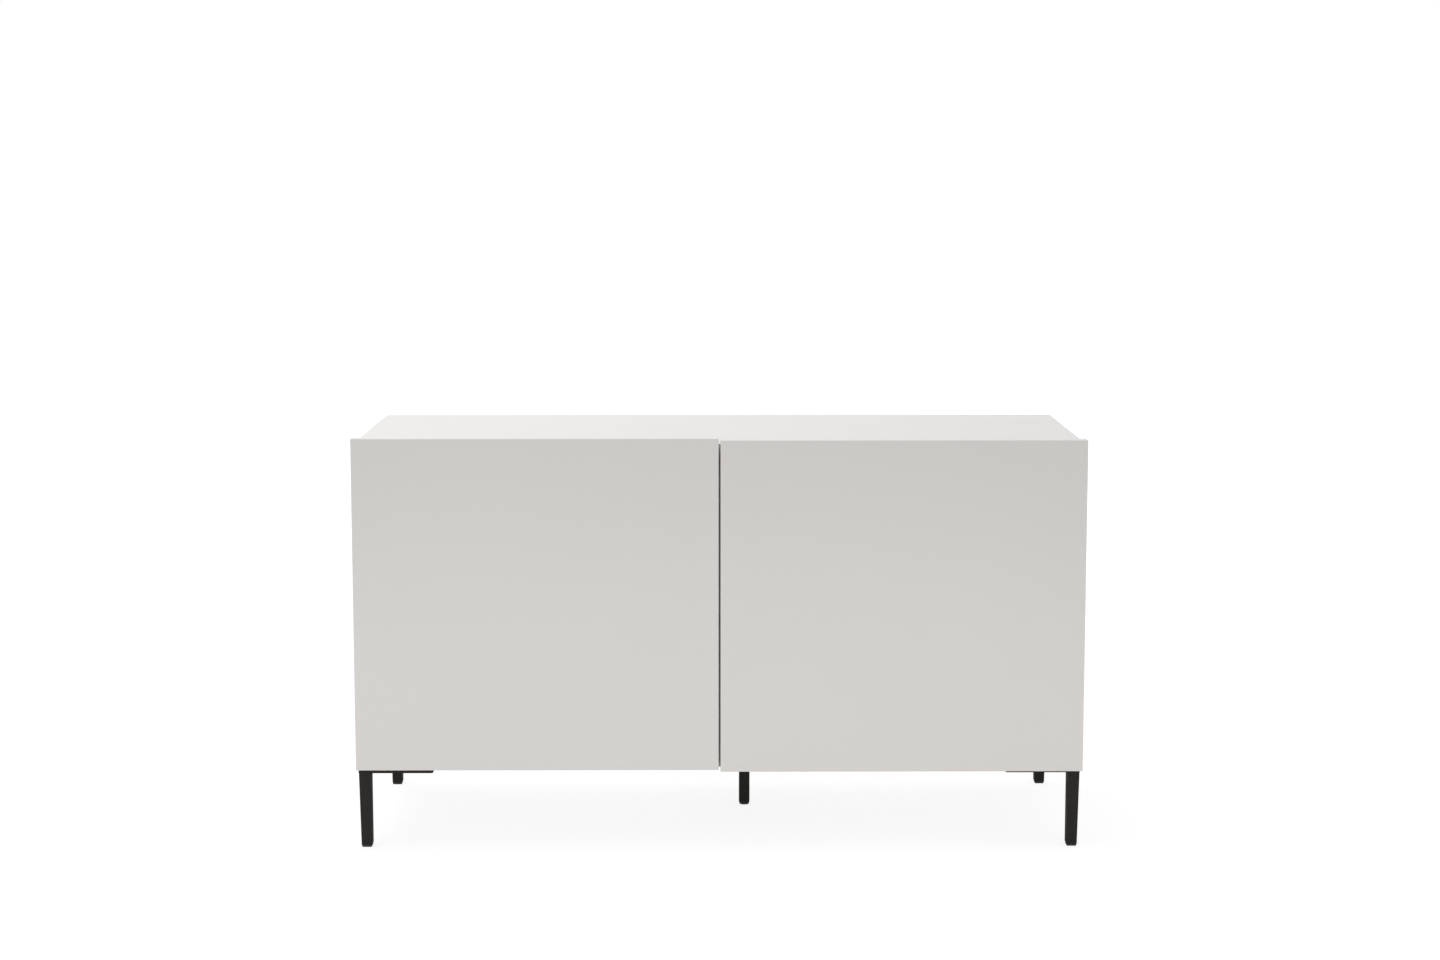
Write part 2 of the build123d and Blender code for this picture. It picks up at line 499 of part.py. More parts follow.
# Hinges: cup in the door, cranked arm, and mounting plate on the side
for side_name, side in SIDES.items():
    for level, height in HINGE_HEIGHTS[side].items():
        plan = hinge_plan(side, height)
        back = door_back(side, height)
        face = side_face(side, height)
        with BuildPart() as hinge_cup:
            with BuildSketch(back):
                with Locations((CUP_CENTRE, 0)):
                    Circle(CUP_RADIUS + CUP_RIM)
                with Locations((CUP_SCREW_X, 0)):
                    SlotCenterToCenter(CUP_SCREW_SPACING, CUP_WING, rotation=90)
            extrude(amount=CUP_SHEET)
            rounds(back, [(CUP_CENTRE, 0)], CUP_RADIUS, -CUP_DEPTH)
            mouth = back.offset(CUP_SHEET)
            rounds(mouth, [(CUP_CENTRE, 0)], CUP_RADIUS - CUP_WALL, -CUP_DEPTH, Mode.SUBTRACT)
            for way in (-1, 1):
                with BuildSketch(plan.offset(way * LUG_INNER)):
                    with Locations(PIVOT):
                        Circle(LUG_RADIUS)
                    with Locations((PIVOT_FROM_EDGE, (PIVOT_Y + CUP_FLOOR) / 2)):
                        Rectangle(2 * LUG_RADIUS, PIVOT_Y - CUP_FLOOR)
                extrude(amount=way * LUG_SHEET)
            with BuildSketch(plan):
                with Locations(PIVOT):
                    Circle(HINGE_PIN_RADIUS + FIT)
            extrude(amount=LUG_INNER + LUG_SHEET, both=True, mode=Mode.SUBTRACT)
            rounds(back, CUP_SCREW_SPOTS, CUP_SCREW_SHANK + FIT, CUP_SHEET, Mode.SUBTRACT)
        hand_over(hinge_cup, f"{side_name}_{level}_hinge_cup")

        with BuildPart() as hinge_arm:
            with BuildSketch(plan):
                SlotArc(arm_spine.wire(), ARM_SHEET)
                with Locations(PIVOT):
                    Circle(EYE_RADIUS)
            extrude(amount=NECK_WIDTH / 2, both=True)
            with BuildSketch(plan):
                with Locations((ARM_LINE + ARM_SHEET / 2 - CHEEK_HEIGHT / 2, (CHEEK_START + ARM_END) / 2)):
                    Rectangle(CHEEK_HEIGHT, ARM_END - CHEEK_START)
            extrude(amount=ARM_WIDTH / 2, both=True)
            with BuildSketch(plan):
                with Locations((ARM_LINE - ARM_SHEET / 2 - CHEEK_HEIGHT / 2, (CHEEK_START + ARM_END) / 2)):
                    Rectangle(CHEEK_HEIGHT, ARM_END - CHEEK_START)
            extrude(amount=ARM_WIDTH / 2 - CHEEK_SHEET, both=True, mode=Mode.SUBTRACT)
            with BuildSketch(plan):
                with Locations(PIVOT):
                    Circle(HINGE_PIN_RADIUS + RUNNING)
            extrude(amount=NECK_WIDTH / 2, both=True, mode=Mode.SUBTRACT)
            rounds(face, ARM_SCREW_SPOT, ARM_SCREW_SHANK + FIT, ARM_LINE + ARM_SHEET - BOARD, Mode.SUBTRACT)
        hand_over(hinge_arm, f"{side_name}_{level}_hinge_arm")

        with BuildPart() as hinge_plate:
            with BuildSketch(face):
                with Locations((PLATE_SCREW_INSET, 0)):
                    SlotCenterToCenter(PLATE_SCREW_SPACING, PLATE_WING, rotation=90)
                with Locations(((PLATE_START + PLATE_END) / 2, 0)):
                    Rectangle(PLATE_END - PLATE_START, ARM_WIDTH)
                with Locations(*PLATE_SCREW_SPOTS):
                    Circle(PLATE_SCREW_SHANK + FIT, mode=Mode.SUBTRACT)
            extrude(amount=PLATE_SHEET)
            with BuildSketch(face):
                with Locations(((BLOCK_START + PLATE_END) / 2, 0)):
                    Rectangle(PLATE_END - BLOCK_START, ARM_WIDTH - 2 * (CHEEK_SHEET + BLOCK_PLAY))
            extrude(amount=BLOCK_RISE)
            pilot_depth = ARM_SCREW_LENGTH - ARM_SHEET + FIT
            block_top = face.offset(BLOCK_RISE)
            rounds(block_top, ARM_SCREW_SPOT, ARM_SCREW_SHANK + FIT, -pilot_depth, Mode.SUBTRACT)
        hand_over(hinge_plate, f"{side_name}_{level}_hinge_plate")

# Pivot pins and cup screws of each door
for side_name, side in SIDES.items():
    with BuildPart() as hinge_pins:
        for height in HINGE_HEIGHTS[side].values():
            with BuildSketch(hinge_plan(side, height)):
                with Locations(PIVOT):
                    Circle(HINGE_PIN_RADIUS)
            extrude(amount=LUG_INNER + LUG_SHEET, both=True)
    hand_over(hinge_pins, f"{side_name}_hinge_pins")

    with BuildPart() as cup_screws:
        for height in HINGE_HEIGHTS[side].values():
            head_seat = door_back(side, height).offset(CUP_SHEET)
            rounds(head_seat, CUP_SCREW_SPOTS, CUP_SCREW_SHANK, -CUP_SCREW_LENGTH)
            rounds(head_seat, CUP_SCREW_SPOTS, CUP_SCREW_HEAD, CUP_SCREW_RISE)
    hand_over(cup_screws, f"{side_name}_cup_screws")

# Screws of the mounting plates, and of the arms on them
with BuildPart() as hinge_plate_screws:
    for side in SIDES.values():
        for height in HINGE_HEIGHTS[side].values():
            head_seat = side_face(side, height).offset(PLATE_SHEET)
            rounds(head_seat, PLATE_SCREW_SPOTS, PLATE_SCREW_SHANK, -PLATE_SCREW_LENGTH)
            rounds(head_seat, PLATE_SCREW_SPOTS, PLATE_SCREW_HEAD, PLATE_SCREW_RISE)
hand_over(hinge_plate_screws, "hinge_plate_screws")

with BuildPart() as hinge_arm_screws:
    for side in SIDES.values():
        for height in HINGE_HEIGHTS[side].values():
            head_seat = side_face(side, height).offset(ARM_LINE + ARM_SHEET / 2 - BOARD)
            rounds(head_seat, ARM_SCREW_SPOT, ARM_SCREW_SHANK, -ARM_SCREW_LENGTH)
            rounds(head_seat, ARM_SCREW_SPOT, ARM_SCREW_HEAD, ARM_SCREW_RISE)
hand_over(hinge_arm_screws, "hinge_arm_screws")

# Corner legs and their glides: each is made at the front left and mirrored to its corner
glide_top = Plane.XY.offset(GLIDE_HEIGHT)
for end_name, end in {"front": -1, "rear": 1}.items():
    for side_name, side in SIDES.items():
        with BuildPart() as leg:
            with BuildSketch(Plane((-WIDTH / 2, CABINET_FRONT, LEG_PLATE_FOOT))) as plate:
                Polygon(*LEG_PLATE_CORNERS, align=None)
                fillet(plate.vertices(), LEG_PLATE_ROUND)
            extrude(amount=LEG_PLATE_THICKNESS)
            with BuildSketch(Plane((-WIDTH / 2, CABINET_FRONT, LEG_PLATE_FOOT))):
                Polygon(*LEG_PLATE_CORNERS, align=None)
                offset(amount=-LEG_PLATE_RIM, kind=Kind.INTERSECTION, mode=Mode.REPLACE)
            extrude(amount=LEG_PLATE_THICKNESS - LEG_PLATE_WEB, mode=Mode.SUBTRACT)
            with BuildSketch(Plane.XY.offset(LEG_HEIGHT - LEG_PLATE_WEB / 2)):
                with Locations((LEG_OUTER_X + LEG_WIDTH / 2, LEG_OUTER_Y + LEG_DEPTH / 2)):
                    RectangleRounded(LEG_WIDTH, LEG_DEPTH, LEG_ROUND)
            with BuildSketch(glide_top):
                with Locations(*LEG_FOOT):
                    RectangleRounded(LEG_FOOT_WIDTH, LEG_FOOT_DEPTH, LEG_ROUND)
            loft()
            stem_depth = GLIDE_STEM_LENGTH + FIT
            rounds(glide_top, LEG_FOOT, GLIDE_STEM_RADIUS + FIT, stem_depth, Mode.SUBTRACT)
            web = Plane((-WIDTH / 2, CABINET_FRONT, LEG_WEB_FOOT))
            rounds(web, LEG_SCREW_SPOTS, LEG_SCREW_SHANK + FIT, LEG_PLATE_WEB, Mode.SUBTRACT)
            if side > 0:
                mirror(about=Plane.YZ, mode=Mode.REPLACE)
            if end > 0:
                mirror(about=Plane.XZ.offset(-CABINET_MID), mode=Mode.REPLACE)
        hand_over(leg, f"{end_name}_{side_name}_leg")

        with BuildPart() as glide:
            with BuildSketch():
                with Locations(*LEG_FOOT):
                    RectangleRounded(
                        LEG_FOOT_WIDTH - 2 * GLIDE_INSET, LEG_FOOT_DEPTH - 2 * GLIDE_INSET, LEG_ROUND
                    )
            extrude(amount=GLIDE_HEIGHT)
            rounds(glide_top, LEG_FOOT, GLIDE_STEM_RADIUS, GLIDE_STEM_LENGTH)
            if side > 0:
                mirror(about=Plane.YZ, mode=Mode.REPLACE)
            if end > 0:
                mirror(about=Plane.XZ.offset(-CABINET_MID), mode=Mode.REPLACE)
        hand_over(glide, f"{end_name}_{side_name}_glide")

# Round leg that holds up the middle of the bottom panel
flange_foot = Plane.XY.offset(LEG_WEB_FOOT)
with BuildPart() as centre_leg:
    rounds(flange_foot, CENTRE_LEG, CENTRE_FLANGE_RADIUS, LEG_PLATE_WEB)
    rounds(flange_foot, CENTRE_SCREW_PLACES, LEG_SCREW_SHANK + FIT, LEG_PLATE_WEB, Mode.SUBTRACT)
    rounds(glide_top, CENTRE_LEG, CENTRE_LEG_RADIUS, LEG_WEB_FOOT - GLIDE_HEIGHT)
    rounds(glide_top, CENTRE_LEG, GLIDE_STEM_RADIUS + FIT, GLIDE_STEM_LENGTH + FIT, Mode.SUBTRACT)
hand_over(centre_leg, "centre_leg")

with BuildPart() as centre_glide:
    rounds(Plane.XY, CENTRE_LEG, CENTRE_LEG_RADIUS - GLIDE_INSET, GLIDE_HEIGHT)
    rounds(glide_top, CENTRE_LEG, GLIDE_STEM_RADIUS, GLIDE_STEM_LENGTH)
hand_over(centre_glide, "centre_glide")

# Screws that hold all five legs
with BuildPart() as leg_screws:
    rounds(flange_foot, LEG_SCREW_PLACES + CENTRE_SCREW_PLACES, LEG_SCREW_SHANK, LEG_SCREW_LENGTH)
    rounds(flange_foot, LEG_SCREW_PLACES + CENTRE_SCREW_PLACES, LEG_SCREW_HEAD, -LEG_SCREW_RISE)
hand_over(leg_screws, "leg_screws")
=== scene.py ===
"""Looks of a TV stand: a white lacquered cabinet with two doors, on five black metal legs.

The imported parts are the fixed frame, in metres: X to the right, Y to the back, Z up.
Boards, doors and plain fittings keep their own meshes and get a finish. Legs and hinges
get a copy of their mesh with rounded edges, and screws get heads with a cross recess.
"""
import logging
import math
from abc import ABC, abstractmethod
from dataclasses import dataclass, field
from enum import Enum
from typing import Any, ClassVar, Optional, Union

import bmesh
import bpy
from mathutils import Matrix, Vector


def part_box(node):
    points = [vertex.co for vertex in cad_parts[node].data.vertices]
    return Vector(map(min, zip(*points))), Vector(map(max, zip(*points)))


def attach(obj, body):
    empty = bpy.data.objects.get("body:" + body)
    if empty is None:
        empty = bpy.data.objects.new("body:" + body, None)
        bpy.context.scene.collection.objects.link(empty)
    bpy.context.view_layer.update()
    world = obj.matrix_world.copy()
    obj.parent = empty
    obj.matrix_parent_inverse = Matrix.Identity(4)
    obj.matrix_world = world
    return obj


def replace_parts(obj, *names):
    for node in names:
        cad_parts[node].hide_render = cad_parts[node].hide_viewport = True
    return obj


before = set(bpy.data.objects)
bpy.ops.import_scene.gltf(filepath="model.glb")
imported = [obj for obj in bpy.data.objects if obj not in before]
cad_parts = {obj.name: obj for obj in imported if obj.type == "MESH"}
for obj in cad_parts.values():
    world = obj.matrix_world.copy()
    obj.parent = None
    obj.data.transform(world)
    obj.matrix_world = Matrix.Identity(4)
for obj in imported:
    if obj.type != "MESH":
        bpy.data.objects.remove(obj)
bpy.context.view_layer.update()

MM = 0.001
WHITE = (1.0, 1.0, 1.0)

Colour = tuple[float, float, float]
Point = tuple[float, float, float]
Range = tuple[float, float]
Value = Union["Sock", float]
Tone = Union["Sock", Colour]
Key = Union[int, str]
Settings = Optional[dict[str, Any]]
Inputs = Optional[dict[Key, Any]]
log = logging.getLogger("tv_stand")


class Slot(Enum):
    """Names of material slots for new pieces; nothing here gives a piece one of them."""

    METAL = "black_metal"
    HINGE = "hinge_steel"
    SCREW = "screw_steel"
    BLACK_SCREW = "black_screw"


class Body(Enum):
    """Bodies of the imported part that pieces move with."""

    CABINET = "cabinet"
    LEFT_DOOR = "left_door"
    RIGHT_DOOR = "right_door"


def shade(colour: Colour, factor: float) -> Colour:
    """A colour times a factor."""
    return tuple(factor * channel for channel in colour)


def grey(level: float) -> Colour:
    """A neutral colour of one level."""
    return (level, level, level)


class Sock:
    """A value in a shader: arithmetic on it adds Math nodes."""

    def __init__(self, paint: "Paint", link: bpy.types.NodeSocket) -> None:
        """Keep the output socket and the paint that it belongs to."""
        self.paint = paint
        self.link = link

    def _math(self, operation: str, first: Value, second: Value = 0.0) -> "Sock":
        """Add one Math node for the operation on two values."""
        return self.paint.node("ShaderNodeMath", {"operation": operation}, {0: first, 1: second})

    def __add__(self, other: Value) -> "Sock":
        """Sum of two values."""
        return self._math("ADD", self, other)

    def __radd__(self, other: Value) -> "Sock":
        """Sum with a number on the left."""
        return self._math("ADD", other, self)

    def __sub__(self, other: Value) -> "Sock":
        """Difference of two values."""
        return self._math("SUBTRACT", self, other)

    def __rsub__(self, other: Value) -> "Sock":
        """Difference from a number on the left."""
        return self._math("SUBTRACT", other, self)

    def __mul__(self, other: Value) -> "Sock":
        """Product of two values."""
        return self._math("MULTIPLY", self, other)

    def __rmul__(self, other: Value) -> "Sock":
        """Product with a number on the left."""
        return self._math("MULTIPLY", other, self)

    def __abs__(self) -> "Sock":
        """Size of a value without its sign."""
        return self._math("ABSOLUTE", self)

    def below(self, limit: Value) -> "Sock":
        """One where the value is under the limit, else zero."""
        return self._math("LESS_THAN", self, limit)

    def at_most(self, limit: Value) -> "Sock":
        """The smaller of the value and the limit."""
        return self._math("MINIMUM", self, limit)

    def ramp(self, limits: Range) -> "Sock":
        """Zero at the first limit, one at the second, with a soft step between."""
        sockets = {"Value": self, "From Min": limits[0], "From Max": limits[1]}
        return self.paint.node("ShaderNodeMapRange", {"interpolation_type": "SMOOTHSTEP"}, sockets)


@dataclass(frozen=True)
class Grain:
    """A noise pattern.

    The scale is in features for each metre, the detail is in octaves of finer noise, and a
    stretch under one on an axis draws the pattern out along it.
    """

    scale: float
    detail: float
    stretch: Point = (1.0, 1.0, 1.0)


class Paint:
    """A node material or world while it is made."""

    # A Mix node has sockets for each type of value; these are the ones for colours.
    MIX_SHARE = 0
    MIX_FIRST = 6
    MIX_SECOND = 7
    MIX_RESULT = 2

    def __init__(self, owner: Union[bpy.types.Material, bpy.types.World]) -> None:
        """Start an empty node tree.

        Args:
            owner: The material or world that the tree belongs to.
        """
        owner.use_nodes = True
        self.tree = owner.node_tree
        self.tree.nodes.clear()

    def add(self, kind: str, settings: Settings = None, inputs: Inputs = None) -> bpy.types.Node:
        """Add any node.

        Args:
            kind: Blender's name of the node type.
            settings: Properties of the node, set before its sockets.
            inputs: Values or links of its input sockets, by index or name.

        Returns:
            The new node.
        """
        made = self.tree.nodes.new(kind)
        for key, value in (settings or {}).items():
            setattr(made, key, value)
        for key, value in (inputs or {}).items():
            self.feed(made.inputs[key], value)
        return made

    def node(self, kind: str, settings: Settings = None, inputs: Inputs = None, output: Key = 0) -> Sock:
        """Add a node and hand back one of its outputs, by index or name."""
        return Sock(self, self.add(kind, settings, inputs).outputs[output])

    def feed(self, socket: bpy.types.NodeSocket, value: Any) -> None:
        """Link a socket, or set its own value.

        Args:
            socket: The input socket.
            value: A Sock to link, or a number, vector or colour to set.
        """
        if isinstance(value, Sock):
            self.tree.links.new(value.link, socket)
        elif socket.type == "RGBA":
            socket.default_value = (*value, 1.0)
        else:
            socket.default_value = value

    def place(self) -> Sock:
        """Object coordinates of the surface."""
        return self.node("ShaderNodeTexCoord", output="Object")

    def axis(self, name: str) -> Sock:
        """One object coordinate: X, Y or Z."""
        return self.node("ShaderNodeSeparateXYZ", None, {0: self.place()}, name)

    def reach(self) -> Sock:
        """Distance of the surface from the object's origin."""
        return self.node("ShaderNodeVectorMath", {"operation": "LENGTH"}, {0: self.place()}, "Value")

    def noise(self, grain: Grain) -> Sock:
        """Noise from zero to one.

        Args:
            grain: The pattern.

        Returns:
            The noise value.
        """
        spot = self.node("ShaderNodeMapping", None, {"Vector": self.place(), "Scale": grain.stretch})
        sockets = {"Vector": spot, "Scale": grain.scale, "Detail": grain.detail}
        return self.node("ShaderNodeTexNoise", None, sockets)

    def blend(self, share: Value, first: Tone, second: Tone) -> Sock:
        """Mix two colours by a share of the second."""
        sockets = {self.MIX_SHARE: share, self.MIX_FIRST: first, self.MIX_SECOND: second}
        return self.node("ShaderNodeMix", {"data_type": "RGBA"}, sockets, self.MIX_RESULT)

    def tinted(self, share: Sock, colour: Colour, tints: Range) -> Sock:
        """A colour that goes from its darker to its lighter tint by a share."""
        return self.blend(share, shade(colour, tints[0]), shade(colour, tints[1]))

    def bump(self, height: Sock, depth: float) -> Sock:
        """Normal of a surface that the height moves by a depth in metres."""
        return self.node("ShaderNodeBump", None, {"Height": height, "Distance": depth})


@dataclass(frozen=True)
class Finish(ABC):
    """A surface finish: the base of every material on the stand.

    The tints are the factors that darken and lighten its colour over the surface.
    """

    MIDDLE: ClassVar[float] = 0.5

    name: str
    colour: Colour
    roughness: float
    tints: Range = (0.98, 1.02)

    def material(self) -> bpy.types.Material:
        """Make the material of this finish.

        Returns:
            The finished node material.
        """
        made = bpy.data.materials.new(self.name)
        paint = Paint(made)
        shader = paint.node("ShaderNodeBsdfPrincipled", None, self.surface(paint))
        paint.add("ShaderNodeOutputMaterial", None, {"Surface": shader})
        return made

    @abstractmethod
    def surface(self, paint: Paint) -> dict[str, Any]:
        """Values and links of the shader's sockets.

        Args:
            paint: The tree that nodes are added to.

        Returns:
            A value or link for each socket's name.
        """

    def mottled(self, paint: Paint, pattern: Sock) -> Sock:
        """The finish's colour, between its two tints by a pattern."""
        return paint.tinted(pattern, self.colour, self.tints)

    def uneven(self, pattern: Sock, spread: float) -> Sock:
        """The finish's roughness, spread about its own value by a pattern."""
        return self.roughness + (pattern - self.MIDDLE) * spread


@dataclass(frozen=True)
class Lacquer(Finish):
    """Sprayed satin lacquer: a faint cloudiness, soft orange peel and uneven sheen."""

    cloud: Grain = Grain(2.2, 3.0)
    sheen: Grain = Grain(11.0, 4.0)
    sheen_spread: float = 0.10
    peel: Grain = Grain(240.0, 1.0)
    peel_depth: float = 0.015 * MM

    def surface(self, paint: Paint) -> dict[str, Any]:
        """Clouds in the colour, patches in the sheen and peel in the bump.

        Args:
            paint: The tree that nodes are added to.

        Returns:
            A value or link for each socket's name.
        """
        return {
            "Base Color": self.mottled(paint, paint.noise(self.cloud)),
            "Roughness": self.uneven(paint.noise(self.sheen), self.sheen_spread),
            "Normal": paint.bump(paint.noise(self.peel), self.peel_depth),
        }


@dataclass(frozen=True)
class CoatedBoard(Finish):
    """Thin fibreboard: a pale paper face, and bare brown fibre where it is cut through.

    The board lies across the depth, about its middle plane.
    """

    tints: Range = (0.96, 1.03)
    paper: Grain = Grain(5.0, 4.0)
    fibre: Colour = (0.30, 0.19, 0.11)
    fibre_tints: Range = (0.6, 1.4)
    specks: Grain = Grain(900.0, 3.0)
    speck_depth: float = 0.03 * MM
    cut_roughness: float = 0.3
    face_depth: float = 0.2 * MM
    mid_plane: float = 0.0
    half_thickness: float = 2.5 * MM

    def surface(self, paint: Paint) -> dict[str, Any]:
        """Paper on the faces, and rougher fibre between them.

        Args:
            paint: The tree that nodes are added to.

        Returns:
            A value or link for each socket's name.
        """
        cut = abs(paint.axis("Y") - self.mid_plane).below(self.half_thickness - self.face_depth)
        specks = paint.noise(self.specks)
        face = self.mottled(paint, paint.noise(self.paper))
        core = paint.tinted(specks, self.fibre, self.fibre_tints)
        return {
            "Base Color": paint.blend(cut, face, core),
            "Roughness": self.roughness + cut * self.cut_roughness,
            "Normal": paint.bump(specks, self.speck_depth),
        }


@dataclass(frozen=True)
class PowderCoat(Finish):
    """Baked black powder: fine pebbles with a soft, uneven gloss."""

    tints: Range = (0.75, 1.3)
    pebbles: Grain = Grain(700.0, 2.0)
    pebble_depth: float = 0.05 * MM
    gloss: Grain = Grain(25.0, 3.0)
    gloss_spread: float = 0.14
    mirror: float = 0.22

    def surface(self, paint: Paint) -> dict[str, Any]:
        """Pebbles in the colour and bump, and patches in the gloss.

        Args:
            paint: The tree that nodes are added to.

        Returns:
            A value or link for each socket's name.
        """
        pebbles = paint.noise(self.pebbles)
        return {
            "Base Color": self.mottled(paint, pebbles),
            "Roughness": self.uneven(paint.noise(self.gloss), self.gloss_spread),
            "Specular IOR Level": self.mirror,
            "Normal": paint.bump(pebbles, self.pebble_depth),
        }


@dataclass(frozen=True)
class PlatedSteel(Finish):
    """Plated sheet steel: drawn streaks along its length and a little staining."""

    tints: Range = (0.88, 1.12)
    stain: Grain = Grain(60.0, 3.0)
    streaks: Grain = Grain(600.0, 3.0, (1.0, 0.06, 1.0))
    streak_depth: float = 0.01 * MM
    streak_spread: float = 0.16

    def surface(self, paint: Paint) -> dict[str, Any]:
        """Stains in the colour, and streaks in the gloss and bump.

        Args:
            paint: The tree that nodes are added to.

        Returns:
            A value or link for each socket's name.
        """
        streaks = paint.noise(self.streaks)
        return {
            "Base Color": self.mottled(paint, paint.noise(self.stain)),
            "Metallic": 1.0,
            "Roughness": self.uneven(streaks, self.streak_spread),
            "Normal": paint.bump(streaks, self.streak_depth),
        }


@dataclass(frozen=True)
class CastMetal(Finish):
    """Die-cast zinc: a matt, slightly pitted skin."""

    tints: Range = (0.82, 1.12)
    pits: Grain = Grain(1500.0, 4.0)
    pit_depth: float = 0.03 * MM
    pit_spread: float = 0.2

    def surface(self, paint: Paint) -> dict[str, Any]:
        """Pits in the colour, gloss and bump.

        Args:
            paint: The tree that nodes are added to.

        Returns:
            A value or link for each socket's name.
        """
        pits = paint.noise(self.pits)
        return {
            "Base Color": self.mottled(paint, pits),
            "Metallic": 1.0,
            "Roughness": self.uneven(pits, self.pit_spread),
            "Normal": paint.bump(pits, self.pit_depth),
        }


@dataclass(frozen=True)
class MouldedPlastic(Finish):
    """Moulded plastic with a fine spark-eroded texture."""

    tints: Range = (0.8, 1.25)
    texture: Grain = Grain(1100.0, 2.0)
    texture_depth: float = 0.04 * MM
    texture_spread: float = 0.12

    def surface(self, paint: Paint) -> dict[str, Any]:
        """Texture in the colour, gloss and bump.

        Args:
            paint: The tree that nodes are added to.

        Returns:
            A value or link for each socket's name.
        """
        texture = paint.noise(self.texture)
        return {
            "Base Color": self.mottled(paint, texture),
            "Roughness": self.uneven(texture, self.texture_spread),
            "Normal": paint.bump(texture, self.texture_depth),
        }


@dataclass(frozen=True)
class Beech(Finish):
    """Turned beech with upright grain and short dark rays."""

    tints: Range = (0.8, 1.15)
    grain: Grain = Grain(420.0, 4.0, (1.0, 1.0, 0.08))
    grain_depth: float = 0.1 * MM
    rays: Grain = Grain(1300.0, 1.0, (1.0, 1.0, 0.08))
    ray_limits: Range = (0.62, 0.75)
    ray_share: float = 0.5
    ray_tint: float = 0.55

    def surface(self, paint: Paint) -> dict[str, Any]:
        """Grain in the colour and bump, with rays over it.

        Args:
            paint: The tree that nodes are added to.

        Returns:
            A value or link for each socket's name.
        """
        grain = paint.noise(self.grain)
        rays = paint.noise(self.rays).ramp(self.ray_limits) * self.ray_share
        return {
            "Base Color": paint.blend(rays, self.mottled(paint, grain), shade(self.colour, self.ray_tint)),
            "Roughness": self.roughness,
            "Normal": paint.bump(grain, self.grain_depth),
        }


@dataclass(frozen=True)
class ClearRubber(Finish):
    """Clear soft polymer with a hazy skin."""

    tints: Range = (0.95, 1.0)
    haze: Grain = Grain(700.0, 2.0)
    haze_spread: float = 0.1
    passes_light: float = 0.75
    bends_light: float = 1.45

    def surface(self, paint: Paint) -> dict[str, Any]:
        """Haze in the colour and gloss of a clear body.

        Args:
            paint: The tree that nodes are added to.

        Returns:
            A value or link for each socket's name.
        """
        haze = paint.noise(self.haze)
        return {
            "Base Color": self.mottled(paint, haze),
            "Roughness": self.uneven(haze, self.haze_spread),
            "Transmission Weight": self.passes_light,
            "IOR": self.bends_light,
        }


